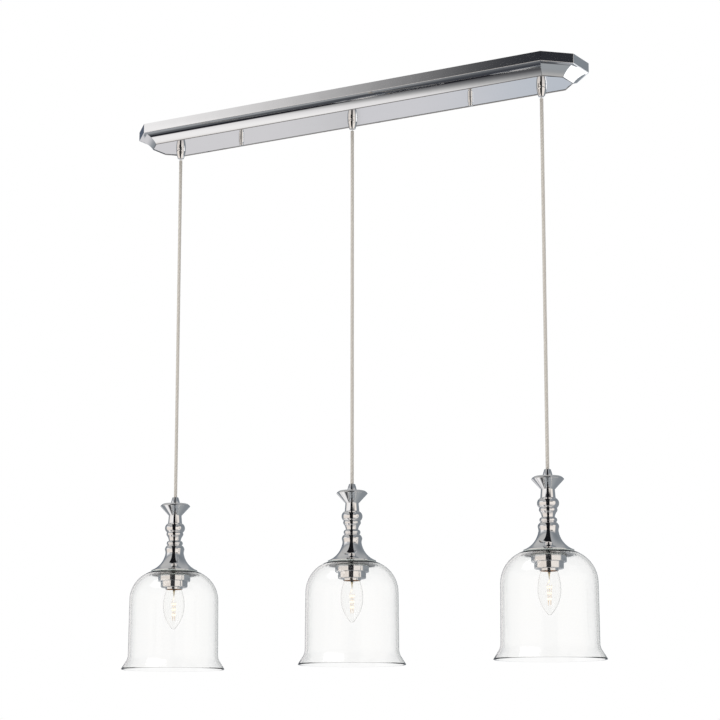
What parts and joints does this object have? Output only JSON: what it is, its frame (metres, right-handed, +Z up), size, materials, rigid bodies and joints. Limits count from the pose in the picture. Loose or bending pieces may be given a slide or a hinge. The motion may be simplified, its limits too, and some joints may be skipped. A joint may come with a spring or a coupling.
{
  "type": "linear pendant light",
  "caption": "Linear island pendant light: a long chrome canopy with cut corners, cords, turned chrome spindles and clear glass bell shades over torpedo bulbs.",
  "frame": {"origin": "centre of the mounting bar's ceiling face, midway between its two outlet box slots", "axes": "+X along the canopy, +Y across it, +Z up into the ceiling"},
  "size_m": [0.7924, 0.1574, 0.8487],
  "materials": {
    "chrome": "polished plating",
    "zinc_steel": "zinc plated",
    "ground_green": "green dyed plating",
    "brass": "satin",
    "brown_plastic": "moulded, dark brown",
    "clear_rubber": "translucent pale washer",
    "cord_jacket": "clear jacket over braided wire",
    "wire_insulation": "smooth insulation",
    "connector_plastic": "ribbed twist-on connector",
    "shade_glass": "clear, smooth, slightly green in thickness",
    "bulb_glass": "clear, smooth",
    "filament": "thin wire"
  },
  "bodies": {
    "ceiling_unit": {"canopy": "chrome", "mounting_bar": "zinc_steel", "ground_screw": "ground_green", "finial_studs": "zinc_steel", "stud_nuts": "zinc_steel", "cap_nuts": "chrome", "canopy_grips": "chrome", "grip_nipples": "zinc_steel", "grip_nuts": "zinc_steel", "canopy_leads": "wire_insulation", "wire_connectors": "connector_plastic"},
    "bend_left": {"cord_bead_left": "cord_jacket"},
    "cord_run_left": {"cord_left": "cord_jacket"},
    "pendant_left": {"pendant_grip_left": "chrome", "inner_cord_left": "cord_jacket", "spindle_left": "chrome", "lamp_tube_left": "zinc_steel", "socket_cup_left": "chrome", "lamp_holder_left": "brown_plastic", "socket_contacts_left": "brass", "shade_left": "shade_glass", "shade_gaskets_left": "clear_rubber", "retaining_ring_left": "chrome"},
    "lamp_left": {"bulb_envelope_left": "bulb_glass", "bulb_base_left": "brass", "bulb_stem_left": "bulb_glass", "bulb_filament_left": "filament"},
    "bend_centre": {"cord_bead_centre": "cord_jacket"},
    "cord_run_centre": {"cord_centre": "cord_jacket"},
    "pendant_centre": {"pendant_grip_centre": "chrome", "inner_cord_centre": "cord_jacket", "spindle_centre": "chrome", "lamp_tube_centre": "zinc_steel", "socket_cup_centre": "chrome", "lamp_holder_centre": "brown_plastic", "socket_contacts_centre": "brass", "shade_centre": "shade_glass", "shade_gaskets_centre": "clear_rubber", "retaining_ring_centre": "chrome"},
    "lamp_centre": {"bulb_envelope_centre": "bulb_glass", "bulb_base_centre": "brass", "bulb_stem_centre": "bulb_glass", "bulb_filament_centre": "filament"},
    "bend_right": {"cord_bead_right": "cord_jacket"},
    "cord_run_right": {"cord_right": "cord_jacket"},
    "pendant_right": {"pendant_grip_right": "chrome", "inner_cord_right": "cord_jacket", "spindle_right": "chrome", "lamp_tube_right": "zinc_steel", "socket_cup_right": "chrome", "lamp_holder_right": "brown_plastic", "socket_contacts_right": "brass", "shade_right": "shade_glass", "shade_gaskets_right": "clear_rubber", "retaining_ring_right": "chrome"},
    "lamp_right": {"bulb_envelope_right": "bulb_glass", "bulb_base_right": "brass", "bulb_stem_right": "bulb_glass", "bulb_filament_right": "filament"}
  },
  "joints": [
    {"name": "swing_along_left", "type": "hinge", "parent": "ceiling_unit", "child": "bend_left", "pos_m": [-0.3175, 0, -0.0493], "axis": [0, -1, 0], "range_deg": [-45, 10]},
    {"name": "swing_across_left", "type": "hinge", "parent": "bend_left", "child": "cord_run_left", "pos_m": [-0.3175, 0, -0.0493], "axis": [1, 0, 0], "range_deg": [-45, 45]},
    {"name": "twist_left", "type": "hinge", "parent": "cord_run_left", "child": "pendant_left", "pos_m": [-0.3175, 0, -0.586], "axis": [0, 0, 1], "range_deg": [-180, 180], "stiffness_Nm_per_rad": 0.002},
    {"name": "unscrew_left", "type": "slide", "parent": "pendant_left", "child": "lamp_left", "axis": [0, 0, -1], "range_m": [0, 0.06]},
    {"name": "swing_along_centre", "type": "hinge", "parent": "ceiling_unit", "child": "bend_centre", "pos_m": [0, 0, -0.0493], "axis": [0, -1, 0], "range_deg": [-10, 10]},
    {"name": "swing_across_centre", "type": "hinge", "parent": "bend_centre", "child": "cord_run_centre", "pos_m": [0, 0, -0.0493], "axis": [1, 0, 0], "range_deg": [-45, 45]},
    {"name": "twist_centre", "type": "hinge", "parent": "cord_run_centre", "child": "pendant_centre", "pos_m": [0, 0, -0.586], "axis": [0, 0, 1], "range_deg": [-180, 180], "stiffness_Nm_per_rad": 0.002},
    {"name": "unscrew_centre", "type": "slide", "parent": "pendant_centre", "child": "lamp_centre", "axis": [0, 0, -1], "range_m": [0, 0.06]},
    {"name": "swing_along_right", "type": "hinge", "parent": "ceiling_unit", "child": "bend_right", "pos_m": [0.3175, 0, -0.0493], "axis": [0, -1, 0], "range_deg": [-10, 45]},
    {"name": "swing_across_right", "type": "hinge", "parent": "bend_right", "child": "cord_run_right", "pos_m": [0.3175, 0, -0.0493], "axis": [1, 0, 0], "range_deg": [-45, 45]},
    {"name": "twist_right", "type": "hinge", "parent": "cord_run_right", "child": "pendant_right", "pos_m": [0.3175, 0, -0.586], "axis": [0, 0, 1], "range_deg": [-180, 180], "stiffness_Nm_per_rad": 0.002},
    {"name": "unscrew_right", "type": "slide", "parent": "pendant_right", "child": "lamp_right", "axis": [0, 0, -1], "range_m": [0, 0.06]}
  ]
}
